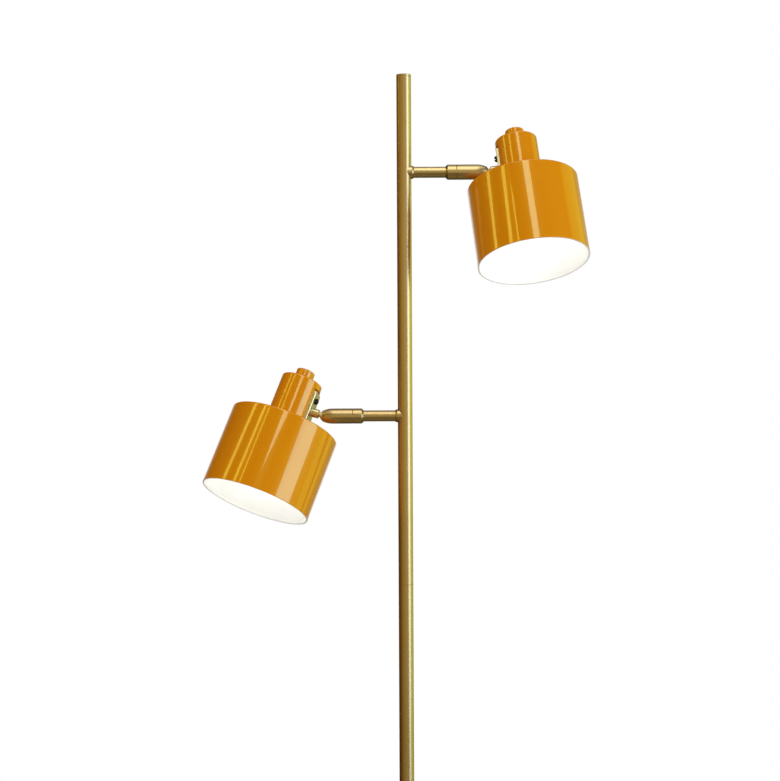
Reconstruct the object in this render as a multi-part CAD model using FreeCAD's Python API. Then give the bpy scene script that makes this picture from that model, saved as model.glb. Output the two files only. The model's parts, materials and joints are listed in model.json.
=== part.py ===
import FreeCAD, Part
import math
import os

from FreeCAD import Placement, Rotation, Vector

# Floor lamp with two swivelling cylinder shades on one brass pole.
# Millimetres. +X is to the right and -Y to the front of the lamp, +Z is up.
# The origin is the centre of the base's underside, on the pole's axis.

# ---------------------------------------------------------------- clearances
thread_gap = 0.05        # radial play of one piece screwed or slipped into another
running_gap = 0.05       # play between pieces that turn on each other
ball_gap = 0.10          # play round the ball

# ---------------------------------------------------------------- base
cover_radius = 130.0
cover_wall = 1.2
cover_edge_radius = 6.0
cover_floor_gap = 0.8
weight_inset = 2.8       # cover's wall in to the weight
weight_thickness = 16.0
weight_chamfer = 4.0
pad_inset = 3.0          # weight's edge in to the pad
pad_thickness = 2.0
collar_radius = 15.0
collar_top_radius = 10.5
collar_height = 10.0
collar_step = 2.5        # height of the collar's straight foot

# ---------------------------------------------------------------- cord outlet
cord_bore_radius = 3.2
bush_wall = 1.4
bush_flange_radius = 6.4
bush_flange_thickness = 2.0
bush_depth = 6.0         # how far the bush reaches in behind the cover's skirt
bush_height = 7.6        # height of the bush's axis above the floor
cord_groove_width = 9.6

# ---------------------------------------------------------------- pole
pole_radius = 8.0
pole_wall = 1.2
section_length = 550.0
section_names = ("pole_bottom", "pole_middle", "pole_top")
cap_thickness = 2.5
cap_edge = 0.5
cap_spigot_length = 12.0
insert_length = 25.0     # threaded inserts and joint studs inside the tube ends
joint_thread_radius = 5.0
joint_thread_length = 20.0
wire_bore_radius = 3.4

# ---------------------------------------------------------------- foot stud and nut
foot_stud_engagement = 22.0
foot_stud_end = 3.0      # height of the stud's lower end above the floor
nut_recess_radius = 15.0
nut_recess_depth = 7.5
foot_nut_flats = 17.0
foot_nut_height = 4.5
foot_flange_radius = 12.0
foot_flange_thickness = 2.0

# ---------------------------------------------------------------- arms
arm_drops = {"upper": 106.0, "lower": 370.0}     # pole's top down to each arm's axis
arm_radius = 6.0
arm_wall = 1.0
saddle_radius = 7.2
saddle_end_radius = 6.4
saddle_reach = 10.6      # pole's axis to the saddle's flat outer face
arm_thread_length = 12.0
nipple_radius = 4.0
nipple_bore_radius = 2.8
nipple_inner_end = 1.4   # pole's axis to the nipple's end inside the pole
arm_nut_flats = 8.6
arm_nut_height = 2.6

# ---------------------------------------------------------------- swivel on the arm
ball_reach = 87.0        # pole's axis to the ball's centre
housing_radius = 8.25
housing_start = 57.0     # pole's axis to the seam between collar and housing
nose_length = 12.1       # tapering front of the housing
mouth_lip = 0.5
mouth_grip = 0.95        # how far the mouth closes in over the ball
housing_thread_radius = 6.9
housing_bore_radius = 6.6
lock_collar_length = 12.0
lock_collar_chamfer = 2.2
seam_chamfer = 0.35
seat_length = 4.5
seat_setback = 3.2       # ball's centre back to the seat's front face
seat_bore_radius = 3.0
spring_disc_count = 4
spring_disc_thickness = 0.5
spring_disc_cone = 0.4
spring_disc_bore = 3.6

# ---------------------------------------------------------------- ball stud
ball_radius = 5.8
stud_neck_radius = 2.6
stud_neck_end = 6.2      # ball's centre to where the neck begins to widen
stud_collar_radius = 4.8
stud_collar_start = 7.4
stud_thread_radius = 3.0
stud_bore_radius = 1.6
stud_nut_flats = 9.0
stud_nut_height = 2.3
stud_end_margin = 0.2

# ---------------------------------------------------------------- shade and neck
shade_radius = 60.0
shade_height = 90.5
shade_wall = 1.2
shade_edge_radius = 1.4
shade_hem_width = 2.0
shade_hem_height = 2.2
neck_radius = 23.0
neck_height = 54.5
neck_wall = 1.5
neck_top_wall = 2.0
neck_edge_radius = 1.8
finial_radius = 10.3
finial_height = 11.8
finial_edge_radius = 1.2
finial_thread_depth = 8.0

# ---------------------------------------------------------------- bracket on the neck
ball_offset = 38.6       # shade's axis to the ball's centre
ball_height = 23.1       # shade's top face up to the ball's centre
flat_depth = 3.2         # flat milled into the neck's side
flat_wall = 2.0
flat_margin = 1.7        # flat's upper end above the plate
plate_length = 45.0
plate_width = 20.0
plate_thickness = 3.0
plate_corner = 3.0
plate_edge = 0.4
screw_spacing = 26.0
screw_radius = 1.5
screw_head_radius = 3.4
screw_head_height = 2.8
screw_slot_width = 0.9
screw_slot_depth = 1.1
screw_end = 1.2          # screw's tip past the neck's inner wall

# ---------------------------------------------------------------- lampholder and bulb
top_thread_radius = 5.0
top_thread_bore = 3.4
top_thread_grip = 8.0    # length of thread in the lampholder
locknut_flats = 14.0
locknut_height = 3.0
holder_radius = 14.0
holder_boss_radius = 8.0
holder_boss_height = 3.5
holder_shoulder_height = 6.0
holder_gap = 0.3         # locknut down to the lampholder's top
holder_reach = 8.0       # shade's top face down to the lampholder's mouth
shell_radius = 8.0
shell_wall = 0.8
shell_length = 25.0
shell_setback = 2.0
holder_bore_depth = 32.0
contact_radius = 4.0
contact_thickness = 1.0
ring_radius = 18.0
ring_height = 5.0
ring_notch_count = 8
ring_notch_radius = 1.5
cap_radius = 7.0
cap_wall = 0.5
cap_length = 23.0
cap_tip_radius = 2.4
cap_insulator_height = 4.0
glass_radius = 22.5
glass_wall = 0.9
glass_length = 50.0      # lampholder's mouth down to the bulb's tip
glass_neck_radius = 6.4
glass_neck_length = 9.0  # glass held inside the bulb's cap
glass_flare_sag = 1.4

# ---------------------------------------------------------------- how the shades stand at rest
# Degrees: turn about the arm, tilt of the stud away from the arm, roll about the stud.
rest_angles = {"upper": (33.6, -9.9, -52.8), "lower": (-43.6, 21.5, 22.8)}
arm_headings = {"upper": 0.0, "lower": 180.0}    # arms point right and left

# ---------------------------------------------------------------- sizes that follow
weight_radius = cover_radius - cover_wall - weight_inset
pad_radius = weight_radius - pad_inset
weight_bottom = pad_thickness
weight_top = weight_bottom + weight_thickness
pole_foot = weight_top + cover_wall
pole_inner_radius = pole_radius - pole_wall
tube_top = pole_foot + section_length * len(section_names)
lamp_top = tube_top + cap_thickness
insert_radius = pole_inner_radius - thread_gap

cup_radius = ball_radius + ball_gap
mouth_radius = cup_radius - mouth_grip
mouth_x = ball_reach + math.sqrt(cup_radius**2 - mouth_radius**2)
nose_start = mouth_x - nose_length
seat_front = ball_reach - seat_setback
seat_back = seat_front - seat_length
spring_pitch = spring_disc_thickness + spring_disc_cone
spring_back = seat_back - running_gap - spring_pitch * spring_disc_count
spring_disc_radius = housing_bore_radius - running_gap
lock_collar_start = housing_start - lock_collar_length

flat_x = neck_radius - flat_depth
flat_inner_x = flat_x - flat_wall
flat_top = ball_height + plate_length / 2 + flat_margin
plate_face_x = flat_x + plate_thickness
neck_ceiling = neck_height - neck_top_wall
locknut_bottom = neck_ceiling - locknut_height
holder_top = locknut_bottom - holder_gap
holder_mouth = -holder_reach
holder_bore_end = holder_mouth + holder_bore_depth
contact_face = holder_bore_end - contact_thickness


# ---------------------------------------------------------------- helpers
def turned(outline):
    """Solid turned about Z from corners (r, z); four numbers are an arc's point and its end."""
    edges = []
    start = Vector(outline[0][0], 0, outline[0][1])
    first = start
    for entry in outline[1:] + outline[:1]:
        end = Vector(entry[-2], 0, entry[-1])
        if len(entry) == 4:
            middle = Vector(entry[0], 0, entry[1])
            edges.append(Part.Arc(start, middle, end).toShape())
        elif start.distanceToPoint(end) > 1e-9:
            edges.append(Part.LineSegment(start, end).toShape())
        start = end
    assert start.distanceToPoint(first) < 1e-9
    face = Part.Face(Part.Wire(edges))
    return face.revolve(Vector(0, 0, 0), Vector(0, 0, 1), 360)


def rod(radius, low, high):
    return Part.makeCylinder(radius, high - low, Vector(0, 0, low))


def tube(outer, inner, low, high):
    return rod(outer, low, high).cut(rod(inner, low - 1, high + 1))


def hexagon(flats, low, high):
    """Hexagonal bar between two heights, its corners on the X axis."""
    corner = flats / 2 / math.cos(math.radians(30))
    points = []
    for step in range(7):
        angle = math.radians(60 * step)
        points.append(Vector(corner * math.cos(angle), corner * math.sin(angle), low))
    return Part.Face(Part.makePolygon(points)).extrude(Vector(0, 0, high - low))


def hex_nut(flats, bore, low, high):
    """Hexagonal nut with both faces bevelled, as nuts are."""
    corner = flats / 2 / math.cos(math.radians(30))
    bevel = (corner - flats / 2) * 0.58
    round_blank = turned([(0, low), (flats / 2, low), (corner, low + bevel),
                          (corner, high - bevel), (flats / 2, high), (0, high)])
    return hexagon(flats, low, high).common(round_blank).cut(rod(bore, low - 1, high + 1))


def along_x(shape):
    """Turns a piece made about Z so that its axis is X and its top points outwards."""
    return shape.transformed(Placement(Vector(), Rotation(Vector(0, 1, 0), 90)).toMatrix())


def corner_arc(center_r, center_z, radius, from_angle, to_angle):
    """Arc entry for turned(), about a centre, by angles in degrees from the +r direction."""
    middle = math.radians((from_angle + to_angle) / 2)
    end = math.radians(to_angle)
    return (center_r + radius * math.cos(middle), center_z + radius * math.sin(middle),
            center_r + radius * math.cos(end), center_z + radius * math.sin(end))


# ---------------------------------------------------------------- base pieces
def base_pad():
    return rod(pad_radius, 0, pad_thickness)


def base_weight():
    """Cast disc with a recess for the nut and a groove for the cord on its underside."""
    disc = turned([(joint_thread_radius + 4 * thread_gap, weight_bottom),
                   (weight_radius, weight_bottom),
                   (weight_radius, weight_top - weight_chamfer),
                   (weight_radius - weight_chamfer, weight_top),
                   (joint_thread_radius + 4 * thread_gap, weight_top)])
    recess = rod(nut_recess_radius, weight_bottom - 1, weight_bottom + nut_recess_depth)
    groove_top = bush_height + cord_bore_radius + bush_wall + 4 * thread_gap
    groove = Part.makeBox(cord_groove_width, weight_radius + 1, groove_top - weight_bottom + 1,
                          Vector(-cord_groove_width / 2, 0, weight_bottom - 1))
    return disc.cut(recess).cut(groove)


def base_cover():
    """Spun dish with a rolled edge that hides the weight."""
    inner_radius = cover_radius - cover_wall
    inner_edge = cover_edge_radius - cover_wall
    bend_r = cover_radius - cover_edge_radius
    bend_z = pole_foot - cover_edge_radius
    bore = joint_thread_radius + 4 * thread_gap
    dish = turned([(bore, weight_top),
                   (bend_r, weight_top),
                   corner_arc(bend_r, bend_z, inner_edge, 90, 0),
                   (inner_radius, cover_floor_gap),
                   (cover_radius, cover_floor_gap),
                   (cover_radius, bend_z),
                   corner_arc(bend_r, bend_z, cover_edge_radius, 0, 90),
                   (bore, pole_foot)])
    hole_radius = cord_bore_radius + bush_wall + thread_gap
    hole = Part.makeCylinder(hole_radius, cover_radius, Vector(0, 1, bush_height), Vector(0, 1, 0))
    return dish.cut(hole)


def base_collar():
    """Turned collar that the pole stands in."""
    top = pole_foot + collar_height
    bore = pole_radius + thread_gap
    waist = (collar_radius + collar_top_radius) / 2
    return turned([(bore, pole_foot),
                   (collar_radius, pole_foot),
                   (collar_radius, pole_foot + collar_step),
                   (waist - 1.0, pole_foot + (collar_height + collar_step) / 2,
                    collar_top_radius, top - 0.5),
                   (collar_top_radius - 0.5, top),
                   (bore, top)])


def cord_bush():
    """Flanged sleeve in the cover's rear skirt, for the cord to pass through."""
    outer = cord_bore_radius + bush_wall
    sleeve_end = cover_radius - cover_wall - bush_depth
    flange_end = cover_radius + bush_flange_thickness
    lip = 0.6
    sleeve = turned([(cord_bore_radius, sleeve_end),
                     (outer, sleeve_end),
                     (outer, cover_radius),
                     (bush_flange_radius, cover_radius),
                     (bush_flange_radius, flange_end - lip),
                     (bush_flange_radius - lip, flange_end),
                     (cord_bore_radius + lip, flange_end),
                     (cord_bore_radius, flange_end - lip)])
    turn_back = Placement(Vector(0, 0, bush_height), Rotation(Vector(1, 0, 0), -90))
    return sleeve.transformed(turn_back.toMatrix())


def foot_stud():
    return tube(joint_thread_radius, wire_bore_radius, foot_stud_end, pole_foot + foot_stud_engagement)


def foot_nut():
    """Flanged nut in the weight's recess."""
    ceiling = weight_bottom + nut_recess_depth
    flange_low = ceiling - foot_flange_thickness
    bore = joint_thread_radius + thread_gap
    flange = tube(foot_flange_radius, bore, flange_low, ceiling)
    return flange.fuse(hex_nut(foot_nut_flats, bore, flange_low - foot_nut_height, flange_low)
                       ).removeSplitter()


# ---------------------------------------------------------------- pole pieces
def section_ends(index):
    low = pole_foot + section_length * index
    return low, low + section_length


def pole_section(index):
    """One tube of the pole, with a side hole for each arm that it carries."""
    low, high = section_ends(index)
    section = tube(pole_radius, pole_inner_radius, low, high)
    for lamp, drop in arm_drops.items():
        height = lamp_top - drop
        if low < height < high:
            hole = along_x(rod(nipple_radius + 2 * thread_gap, 0, pole_radius + 1))
            section = section.cut(on_arm(hole, lamp))
    return section


def tube_inserts():
    """Threaded inserts in the pole's foot and in the upper ends of the lower sections."""
    bore = joint_thread_radius + thread_gap
    inserts = [tube(insert_radius, bore, pole_foot, pole_foot + insert_length)]
    for index in range(len(section_names) - 1):
        seam = section_ends(index)[1]
        inserts.append(tube(insert_radius, bore, seam - insert_length, seam))
    return Part.makeCompound(inserts)


def joint_studs():
    """Hollow studs in the lower ends of the upper sections, screwed into the inserts."""
    studs = []
    for index in range(1, len(section_names)):
        seam = section_ends(index)[0]
        studs.append(turned([(wire_bore_radius, seam - joint_thread_length),
                             (joint_thread_radius, seam - joint_thread_length),
                             (joint_thread_radius, seam),
                             (insert_radius, seam),
                             (insert_radius, seam + insert_length),
                             (wire_bore_radius, seam + insert_length)]))
    return Part.makeCompound(studs)


def top_cap():
    """Flush plug that closes the pole's top."""
    return turned([(0, tube_top - cap_spigot_length),
                   (insert_radius, tube_top - cap_spigot_length),
                   (insert_radius, tube_top),
                   (pole_radius, tube_top),
                   (pole_radius, lamp_top - cap_edge),
                   (pole_radius - cap_edge, lamp_top),
                   (0, lamp_top)])


# ---------------------------------------------------------------- arm pieces, along +X from the pole
def saddle():
    """Washer between arm and pole, hollowed to sit on the tube."""
    blank = turned([(nipple_radius + 2 * thread_gap, 0),
                    (saddle_radius, 0),
                    (saddle_radius, pole_radius + 0.6),
                    (saddle_end_radius, saddle_reach),
                    (nipple_radius + 2 * thread_gap, saddle_reach)])
    pole_space = rod(pole_radius, -saddle_radius - 1, saddle_radius + 1)
    return along_x(blank).cut(pole_space)


def arm_nipple():
    return along_x(tube(nipple_radius, nipple_bore_radius, nipple_inner_end,
                        saddle_reach + arm_thread_length - 1))


def arm_nut():
    """Nut inside the pole; its corners bear on the tube's inner wall."""
    corner = arm_nut_flats / 2 / math.cos(math.radians(30))
    seat = math.sqrt(pole_inner_radius**2 - corner**2) - thread_gap
    return along_x(hex_nut(arm_nut_flats, nipple_radius + thread_gap, seat - arm_nut_height, seat))


def arm_tube():
    """Arm with a thick threaded end at the pole; its far end is held in the lock collar."""
    bore = arm_radius - arm_wall
    thread = nipple_radius + thread_gap
    thread_end = saddle_reach + arm_thread_length
    return along_x(turned([(thread, saddle_reach),
                           (arm_radius, saddle_reach),
                           (arm_radius, spring_back),
                           (bore, spring_back),
                           (bore, thread_end),
                           (thread, thread_end)]))


def lock_collar():
    """Collar on the arm's end; its spigot screws into the housing and loads the spring discs."""
    bore = arm_radius + thread_gap
    return along_x(turned([(bore, lock_collar_start),
                           (housing_radius - lock_collar_chamfer + 0.3, lock_collar_start),
                           (housing_radius, lock_collar_start + lock_collar_chamfer),
                           (housing_radius, housing_start - seam_chamfer),
                           (housing_radius - seam_chamfer, housing_start),
                           (housing_thread_radius, housing_start),
                           (housing_thread_radius, spring_back),
                           (bore, spring_back)]))


def nose_radius(x):
    """Housing's outer radius along its nose, a quarter ellipse cut off at the mouth."""
    mouth_outer = mouth_radius + mouth_lip
    half_axis = nose_length / math.sqrt(1 - (mouth_outer / housing_radius)**2)
    return housing_radius * math.sqrt(1 - ((x - nose_start) / half_axis)**2)


def joint_housing():
    """Bullet-shaped housing; its mouth closes in over the ball."""
    thread = housing_thread_radius + thread_gap
    bore = housing_bore_radius + running_gap
    cup_mid = math.radians(math.degrees(math.asin(mouth_radius / cup_radius)) / 2 + 45)
    nose_points = []
    for share in (0.3, 0.55, 0.8, 1.0):
        x = nose_start + nose_length * share
        nose_points.append((nose_radius(x), x))
    return along_x(turned([(thread, housing_start),
                           (housing_radius - seam_chamfer, housing_start),
                           (housing_radius, housing_start + seam_chamfer),
                           (housing_radius, nose_start),
                           nose_points[0] + nose_points[1],
                           nose_points[2] + nose_points[3],
                           (mouth_radius, mouth_x),
                           (cup_radius * math.sin(cup_mid), ball_reach + cup_radius * math.cos(cup_mid),
                            cup_radius, ball_reach),
                           (cup_radius, seat_front + ball_gap),
                           (bore, seat_front + ball_gap),
                           (bore, spring_back),
                           (thread, spring_back)]))


def spring_discs():
    """Cone washers, stacked back to back, that press the seat against the ball."""
    discs = []
    for index in range(spring_disc_count):
        low = spring_back + spring_pitch * index
        inner_lift, outer_lift = (0, spring_disc_cone) if index % 2 else (spring_disc_cone, 0)
        discs.append(along_x(turned([(spring_disc_bore, low + inner_lift),
                                     (spring_disc_radius, low + outer_lift),
                                     (spring_disc_radius, low + outer_lift + spring_disc_thickness),
                                     (spring_disc_bore, low + inner_lift + spring_disc_thickness)])))
    return Part.makeCompound(discs)


def ball_seat():
    """Nylon cup behind the ball."""
    blank = tube(housing_bore_radius, seat_bore_radius, seat_back, seat_front)
    ball_space = Part.makeSphere(cup_radius, Vector(0, 0, ball_reach))
    return along_x(blank.cut(ball_space))


# ---------------------------------------------------------------- shade pieces, shade's axis on Z
# The shade's top face is at height 0 and the ball lies towards +X.
def shade():
    """Drum, open below, with a hem round its lower edge."""
    outer = shade_radius
    inner = shade_radius - shade_wall
    bottom = -shade_height
    bend = shade_edge_radius
    inner_bend = shade_edge_radius - shade_wall * 0.5
    hole = holder_radius + 4 * thread_gap
    hem_inner = outer - shade_hem_width
    return turned([(hole, 0),
                   (outer - bend, 0),
                   corner_arc(outer - bend, -bend, bend, 90, 0),
                   (outer, bottom + 0.4),
                   (outer - 0.4, bottom),
                   (hem_inner + 0.4, bottom),
                   (hem_inner, bottom + 0.4),
                   (hem_inner, bottom + shade_hem_height),
                   (inner, bottom + shade_hem_height + shade_hem_width - shade_wall),
                   (inner, -shade_wall - inner_bend),
                   corner_arc(inner - inner_bend, -shade_wall - inner_bend, inner_bend, 0, 90),
                   (hole, -shade_wall)])


def neck_housing():
    """Inverted cup over the lampholder, with a flat on its side for the bracket plate."""
    bend = neck_edge_radius
    outside = turned([(0, 0),
                      (neck_radius, 0),
                      (neck_radius, neck_height - bend),
                      corner_arc(neck_radius - bend, neck_height - bend, bend, 0, 90),
                      (0, neck_height)])
    step = Part.makeBox(2 * flat_depth, 3 * neck_radius, flat_top + 1,
                        Vector(flat_x, -1.5 * neck_radius, -1))
    cavity = rod(neck_radius - neck_wall, -1, neck_ceiling)
    behind_flat = Part.makeBox(2 * neck_radius, 3 * neck_radius, flat_top + flat_wall + 1,
                               Vector(flat_inner_x, -1.5 * neck_radius, -1))
    cup = outside.cut(step).cut(cavity.cut(behind_flat))
    cup = cup.cut(rod(top_thread_radius + thread_gap, neck_ceiling - 1, neck_height + 1))
    cup = cup.cut(stud_hole())
    for hole in screw_holes():
        cup = cup.cut(hole)
    return cup


def stud_hole():
    hole = along_x(rod(stud_thread_radius + running_gap, 0, 2 * neck_radius))
    hole.translate(Vector(0, 0, ball_height))
    return hole


def screw_heights():
    return (ball_height - screw_spacing / 2, ball_height + screw_spacing / 2)


def screw_holes():
    holes = []
    for height in screw_heights():
        hole = along_x(rod(screw_radius + thread_gap, 0, 2 * neck_radius))
        hole.translate(Vector(0, 0, height))
        holes.append(hole)
    return holes


def bracket_plate():
    """Plate on the neck's flat that carries the ball stud."""
    blank = Part.makeBox(plate_thickness, plate_width, plate_length,
                         Vector(flat_x, -plate_width / 2, ball_height - plate_length / 2))
    corners = []
    rim = []
    for edge in blank.Edges:
        if edge.BoundBox.XLength > plate_thickness / 2:
            corners.append(edge)
    blank = blank.makeFillet(plate_corner, corners)
    for edge in blank.Edges:
        if edge.BoundBox.XMin > plate_face_x - 1e-6:
            rim.append(edge)
    blank = blank.makeChamfer(plate_edge, rim)
    blank = blank.cut(stud_hole())
    for hole in screw_holes():
        blank = blank.cut(hole)
    return blank


def bracket_screws():
    """Two slotted pan-head screws that hold the plate to the neck."""
    crown = 0.7 * screw_head_height
    tip = flat_inner_x - screw_end
    head_top = plate_face_x + screw_head_height
    screws = []
    for index, height in enumerate(screw_heights()):
        screw = turned([(0, tip),
                        (screw_radius, tip),
                        (screw_radius, plate_face_x),
                        (screw_head_radius, plate_face_x),
                        (screw_head_radius, head_top - crown),
                        (screw_head_radius * 0.82, head_top - crown * 0.32, 0, head_top)])
        slot = Part.makeBox(3 * screw_head_radius, screw_slot_width, 2 * screw_slot_depth,
                            Vector(-1.5 * screw_head_radius, -screw_slot_width / 2,
                                   head_top - screw_slot_depth))
        slot.rotate(Vector(0, 0, 0), Vector(0, 0, 1), 25 + 40 * index)
        screw = along_x(screw.cut(slot))
        screw.translate(Vector(0, 0, height))
        screws.append(screw)
    return Part.makeCompound(screws)


def ball_stud():
    """Ball, undercut neck, collar and hollow thread, turned in one piece."""
    start = flat_inner_x - running_gap - stud_nut_height - stud_end_margin
    collar_face = plate_face_x + running_gap
    shaft = turned([(0, start),
                    (stud_thread_radius, start),
                    (stud_thread_radius, collar_face),
                    (stud_collar_radius, collar_face),
                    (stud_collar_radius, ball_offset - stud_collar_start),
                    (stud_neck_radius, ball_offset - stud_neck_end),
                    (stud_neck_radius, ball_offset),
                    (0, ball_offset)])
    ball = Part.makeSphere(ball_radius, Vector(0, 0, ball_offset))
    bore = rod(stud_bore_radius, start - 1, ball_offset + ball_radius + 1)
    stud = along_x(shaft.fuse(ball).cut(bore).removeSplitter())
    stud.translate(Vector(0, 0, ball_height))
    return stud


def stud_nut():
    outer_face = flat_inner_x - running_gap
    nut = along_x(hex_nut(stud_nut_flats, stud_thread_radius + thread_gap / 2,
                          outer_face - stud_nut_height, outer_face))
    nut.translate(Vector(0, 0, ball_height))
    return nut


def finial_nut():
    """Round nut on top of the neck."""
    top = neck_height + finial_height
    bend = finial_edge_radius
    thread = top_thread_radius + thread_gap
    return turned([(thread, neck_height),
                   (finial_radius, neck_height),
                   (finial_radius, top - bend),
                   corner_arc(finial_radius - bend, top - bend, bend, 0, 90),
                   (0, top),
                   (0, neck_height + finial_thread_depth),
                   (thread, neck_height + finial_thread_depth)])


def threaded_nipple():
    return tube(top_thread_radius, top_thread_bore, holder_top - top_thread_grip,
                neck_height + finial_thread_depth - 1)


def nipple_locknut():
    return hex_nut(locknut_flats, top_thread_radius + thread_gap, locknut_bottom, neck_ceiling)


def lampholder():
    """Moulded lampholder; its lower end carries the thread for the shade ring."""
    nipple_bore = top_thread_radius + thread_gap
    boss_low = holder_top - holder_boss_height
    shell_bore = shell_radius + thread_gap
    return turned([(shell_bore, holder_mouth),
                   (holder_radius - 0.8, holder_mouth),
                   (holder_radius, holder_mouth + 0.8),
                   (holder_radius, boss_low - holder_shoulder_height),
                   (holder_boss_radius, boss_low),
                   (holder_boss_radius, holder_top),
                   (nipple_bore, holder_top),
                   (nipple_bore, holder_top - top_thread_grip - 0.5),
                   (top_thread_bore, holder_top - top_thread_grip - 0.5),
                   (top_thread_bore, holder_bore_end),
                   (shell_bore, holder_bore_end)])


def socket_shell():
    low = holder_mouth + shell_setback
    return tube(shell_radius, shell_radius - shell_wall, low, low + shell_length)


def socket_contact():
    return rod(contact_radius, contact_face, holder_bore_end)


def shade_ring():
    """Notched ring that clamps the shade up against the neck."""
    low = -shade_wall - ring_height
    ring = tube(ring_radius, holder_radius + thread_gap, low, -shade_wall)
    for index in range(ring_notch_count):
        angle = math.radians(360 * index / ring_notch_count)
        spot = Vector(ring_radius * math.cos(angle), ring_radius * math.sin(angle), low - 1)
        ring = ring.cut(Part.makeCylinder(ring_notch_radius, ring_height + 2, spot))
    return ring


def bulb_cap():
    """Threaded metal cap of the bulb, with its centre contact."""
    tip = contact_face - thread_gap
    low = tip - cap_length - cap_insulator_height
    top = tip - cap_insulator_height
    inner = cap_radius - cap_wall
    return turned([(inner, low),
                   (cap_radius, low),
                   (cap_radius, top),
                   (cap_tip_radius, tip - 1),
                   (cap_tip_radius, tip),
                   (0, tip),
                   (0, top - cap_wall),
                   (inner, top - cap_wall)])


def glass_outline(globe_radius, neck_radius_here, neck_top):
    """Arc entries for one side of the globe, from its neck to its tip."""
    center = holder_mouth - glass_length + glass_radius
    lip = contact_face - thread_gap - cap_length - cap_insulator_height
    reach = lip - center
    distance = math.hypot(neck_radius_here, reach)
    touch = math.asin(min(1.0, globe_radius / distance)) - math.atan2(neck_radius_here, reach)
    touch_r = globe_radius * math.cos(touch)
    touch_z = center + globe_radius * math.sin(touch)
    flare_r = (neck_radius_here + touch_r) / 2 - glass_flare_sag
    flare_z = (lip + touch_z) / 2 - glass_flare_sag / 2
    side = math.radians((math.degrees(touch) - 90) / 2)
    return [(neck_radius_here, neck_top),
            (neck_radius_here, lip),
            (flare_r, flare_z, touch_r, touch_z),
            (globe_radius * math.cos(side), center + globe_radius * math.sin(side),
             0, center - globe_radius)]


def bulb_glass():
    """Opal globe, hollow, with its neck held in the bulb's cap."""
    lip = contact_face - thread_gap - cap_length - cap_insulator_height
    neck_top = lip + glass_neck_length
    outer = turned(glass_outline(glass_radius, glass_neck_radius, neck_top) + [(0, neck_top)])
    inner = turned(glass_outline(glass_radius - glass_wall, glass_neck_radius - glass_wall,
                                 neck_top + 1) + [(0, neck_top + 1)])
    return outer.cut(inner)


# ---------------------------------------------------------------- placing
def on_arm(shape, lamp):
    """Moves a piece made along +X to its arm's height and heading."""
    heading = Rotation(Vector(0, 0, 1), arm_headings[lamp])
    return shape.transformed(Placement(Vector(0, 0, lamp_top - arm_drops[lamp]), heading).toMatrix())


def on_ball(shape, lamp):
    """Moves a piece of the shade so that its ball is in the arm's housing, at its rest angles."""
    turn, tilt, roll = rest_angles[lamp]
    heading = Rotation(Vector(0, 0, 1), arm_headings[lamp])
    facing = Rotation(Vector(0, 0, 1), arm_headings[lamp] + 180)
    swivel = (Rotation(Vector(1, 0, 0), turn) * Rotation(Vector(0, 1, 0), tilt)
              * Rotation(Vector(1, 0, 0), roll) * facing)
    ball_spot = heading.multVec(Vector(ball_reach, 0, 0)) + Vector(0, 0, lamp_top - arm_drops[lamp])
    shift = ball_spot - swivel.multVec(Vector(ball_offset, 0, ball_height))
    return shape.transformed(Placement(shift, swivel).toMatrix())


# ---------------------------------------------------------------- the whole lamp
stand_pieces = {"base_pad": base_pad, "base_weight": base_weight, "base_cover": base_cover,
                "base_collar": base_collar, "cord_bush": cord_bush, "foot_stud": foot_stud,
                "foot_nut": foot_nut, "tube_inserts": tube_inserts, "joint_studs": joint_studs,
                "top_cap": top_cap}
arm_pieces = {"saddle": saddle, "arm_nipple": arm_nipple, "arm_nut": arm_nut, "arm_tube": arm_tube,
              "lock_collar": lock_collar, "joint_housing": joint_housing,
              "spring_discs": spring_discs, "ball_seat": ball_seat}
shade_pieces = {"shade": shade, "neck_housing": neck_housing, "bracket_plate": bracket_plate,
                "bracket_screws": bracket_screws, "ball_stud": ball_stud, "stud_nut": stud_nut,
                "finial_nut": finial_nut, "threaded_nipple": threaded_nipple,
                "nipple_locknut": nipple_locknut, "lampholder": lampholder,
                "socket_shell": socket_shell, "socket_contact": socket_contact,
                "shade_ring": shade_ring, "bulb_cap": bulb_cap, "bulb_glass": bulb_glass}


def build():
    """Every node's shape by name, in place."""
    shapes = {}
    for name, make in stand_pieces.items():
        shapes[name] = make()
    for index, name in enumerate(section_names):
        shapes[name] = pole_section(index)
    for lamp in arm_drops:
        for name, make in arm_pieces.items():
            shapes[lamp + "_" + name] = on_arm(make(), lamp)
        for name, make in shade_pieces.items():
            shapes[lamp + "_" + name] = on_ball(make(), lamp)
    return shapes


os.makedirs("parts", exist_ok=True)
for node, shape in build().items():
    assert shape.isValid() and shape.Volume > 0, node
    shape.exportStep("parts/" + node + ".step")
    print(node, "solids", len(shape.Solids), "volume", round(shape.Volume, 1))
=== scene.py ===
# %% [markdown]
# # A brass floor lamp with two lacquered spot shades
# The lamp is a slim brass pole with two short arms. Each arm ends in a bullet-shaped housing that grips a
# ball, and the ball carries a mustard yellow shade. Nearly every part was turned on a lathe, so nearly
# every surface here is a profile swept round an axis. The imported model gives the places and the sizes.
# This script builds the smooth surfaces and the finishes on top of it.

# %% Load the frame
import json
import math

import bpy
import numpy as np
from mathutils import Matrix, Vector


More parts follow.
